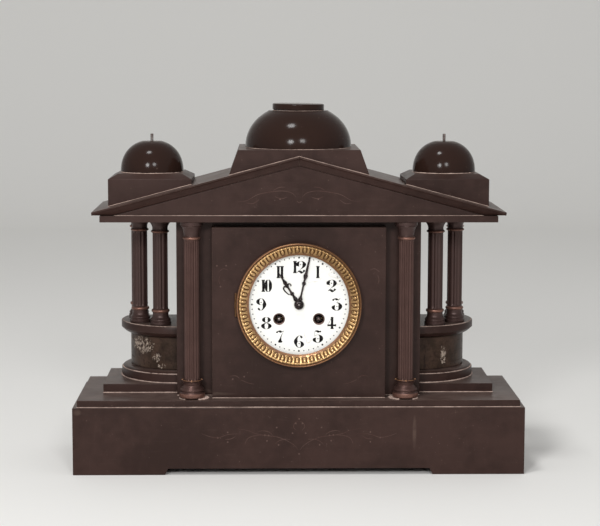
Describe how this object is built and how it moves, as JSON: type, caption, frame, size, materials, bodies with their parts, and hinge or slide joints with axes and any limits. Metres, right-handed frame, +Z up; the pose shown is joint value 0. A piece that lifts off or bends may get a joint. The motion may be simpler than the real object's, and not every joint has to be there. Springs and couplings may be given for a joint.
{
  "type": "mantel clock",
  "caption": "Black slate temple-front mantel clock with fluted bronze columns on round-fronted pedestals, a domed pediment, gilt bezel, white enamel dial and a pendulum movement with bell.",
  "frame": {"origin": "centre of the footprint of the whole clock, on the surface that it stands on", "axes": "+X to the clock's right-hand end seen from its dial, +Y from the dial to the back, +Z up"},
  "size_m": [0.454, 0.145, 0.3704],
  "materials": {
    "slate": "honed",
    "polished_slate": "polished",
    "variegated_marble": "polished",
    "bronze": "patinated",
    "gilt": "satin",
    "glass": "clear",
    "enamel": "glossy",
    "black_steel": "satin",
    "brass": "satin",
    "steel": "satin",
    "bell_metal": "polished"
  },
  "bodies": {
    "case": {"plinth": "slate", "base_slab": "slate", "step_slab": "slate", "front_wall": "slate", "dial_panel": "slate", "back_wall": "slate", "side_wall_left": "slate", "side_wall_right": "slate", "pedestal_base_left": "slate", "pedestal_base_right": "slate", "pedestal_drum_left": "variegated_marble", "pedestal_drum_right": "variegated_marble", "pedestal_cap_left": "slate", "pedestal_cap_right": "slate", "small_column_left_front": "bronze", "small_column_left_outer": "bronze", "small_column_left_back": "bronze", "small_column_right_front": "bronze", "small_column_right_outer": "bronze", "small_column_right_back": "bronze", "large_column_left": "bronze", "large_column_right": "bronze", "architrave": "slate", "tympanum": "slate", "back_gable": "slate", "roof_left": "slate", "roof_right": "slate", "corner_block_left": "slate", "corner_block_right": "slate", "side_dome_left": "polished_slate", "side_dome_right": "polished_slate", "finial_pin_left": "steel", "finial_pin_right": "steel", "dome_block": "slate", "central_dome": "polished_slate", "dome_cap": "polished_slate", "bezel_seat": "gilt", "dial": "enamel", "front_plate": "brass", "back_plate": "brass", "bell": "bell_metal", "rear_ring": "brass"},
    "bezel_door": {"bezel": "gilt", "bezel_glass": "glass"},
    "back_door": {"rear_door": "brass"},
    "minute_hand_body": {"minute_hand": "black_steel"},
    "hour_hand_body": {"hour_hand": "black_steel", "hour_wheel": "brass"},
    "minute_wheel_body": {"minute_wheel": "brass"},
    "third_wheel_body": {"third_wheel": "brass"},
    "centre_wheel_body": {"centre_wheel": "brass"},
    "intermediate_wheel_body": {"intermediate_wheel": "brass"},
    "going_barrel_body": {"going_barrel": "brass"},
    "escape_wheel_body": {"escape_wheel": "brass"},
    "going_winding_body": {"going_winding_arbor": "steel"},
    "strike_winding_body": {"strike_winding_arbor": "steel"},
    "strike_barrel_body": {"strike_barrel": "brass"},
    "pendulum_body": {"pendulum": "brass"},
    "pallets_body": {"pallets": "steel"},
    "hammer_body": {"hammer": "steel"}
  },
  "joints": [
    {"name": "bezel_hinge", "type": "hinge", "parent": "case", "child": "bezel_door", "pos_m": [-0.0634, -0.0569, 0.1705], "axis": [0, 0, -1], "range_deg": [0, 110]},
    {"name": "rear_door_hinge", "type": "hinge", "parent": "case", "child": "back_door", "pos_m": [0.0574, 0.0694, 0.1705], "axis": [0, 0, -1], "range_deg": [0, 120]},
    {"name": "hand_turn", "type": "hinge", "parent": "case", "child": "minute_hand_body", "pos_m": [0, -0.05, 0.1705], "axis": [0, 1, 0], "continuous": true},
    {"name": "hour_turn", "type": "hinge", "parent": "case", "child": "hour_hand_body", "pos_m": [0, -0.05, 0.1705], "axis": [0, 1, 0], "continuous": true},
    {"name": "minute_wheel_turn", "type": "hinge", "parent": "case", "child": "minute_wheel_body", "pos_m": [-0.01015, -0.046, 0.16681], "axis": [0, 1, 0], "continuous": true},
    {"name": "third_turn", "type": "hinge", "parent": "case", "child": "third_wheel_body", "pos_m": [-0.00819, -0.025, 0.18468], "axis": [0, 1, 0], "continuous": true},
    {"name": "centre_turn", "type": "hinge", "parent": "case", "child": "centre_wheel_body", "pos_m": [0, -0.025, 0.1705], "axis": [0, 1, 0], "continuous": true},
    {"name": "intermediate_turn", "type": "hinge", "parent": "case", "child": "intermediate_wheel_body", "pos_m": [0.0181, -0.025, 0.17746], "axis": [0, 1, 0], "continuous": true},
    {"name": "going_barrel_turn", "type": "hinge", "parent": "case", "child": "going_barrel_body", "pos_m": [0.02, -0.025, 0.1557], "axis": [0, 1, 0], "continuous": true},
    {"name": "escape_turn", "type": "hinge", "parent": "case", "child": "escape_wheel_body", "pos_m": [0, -0.025, 0.19609], "axis": [0, 1, 0], "continuous": true},
    {"name": "going_winding", "type": "hinge", "parent": "case", "child": "going_winding_body", "pos_m": [0.02, -0.025, 0.1557], "axis": [0, 1, 0], "continuous": true},
    {"name": "strike_winding", "type": "hinge", "parent": "case", "child": "strike_winding_body", "pos_m": [-0.02, -0.025, 0.1557], "axis": [0, 1, 0], "continuous": true},
    {"name": "strike_barrel_turn", "type": "hinge", "parent": "case", "child": "strike_barrel_body", "pos_m": [-0.02, -0.025, 0.1557], "axis": [0, 1, 0], "continuous": true},
    {"name": "pendulum_swing", "type": "hinge", "parent": "case", "child": "pendulum_body", "pos_m": [0, 0.0019, 0.20879], "axis": [0, 1, 0], "range_deg": [-4, 4]},
    {"name": "pallet_rock", "type": "hinge", "parent": "case", "child": "pallets_body", "pos_m": [0, -0.005, 0.20879], "axis": [0, 1, 0], "range_deg": [-4, 4]},
    {"name": "hammer_swing", "type": "hinge", "parent": "case", "child": "hammer_body", "pos_m": [-0.038, -0.005, 0.1805], "axis": [0, 1, 0], "range_deg": [0, 10]}
  ],
  "couplings": [
    {"joint": "hour_turn", "follows": "hand_turn", "ratio": 0.083333},
    {"joint": "minute_wheel_turn", "follows": "hand_turn", "ratio": -0.33333},
    {"joint": "centre_turn", "follows": "third_turn", "ratio": -0.083333},
    {"joint": "intermediate_turn", "follows": "third_turn", "ratio": 0.013889},
    {"joint": "going_barrel_turn", "follows": "third_turn", "ratio": -0.0023148},
    {"joint": "escape_turn", "follows": "third_turn", "ratio": -12},
    {"joint": "pallet_rock", "follows": "pendulum_swing", "ratio": 1}
  ]
}
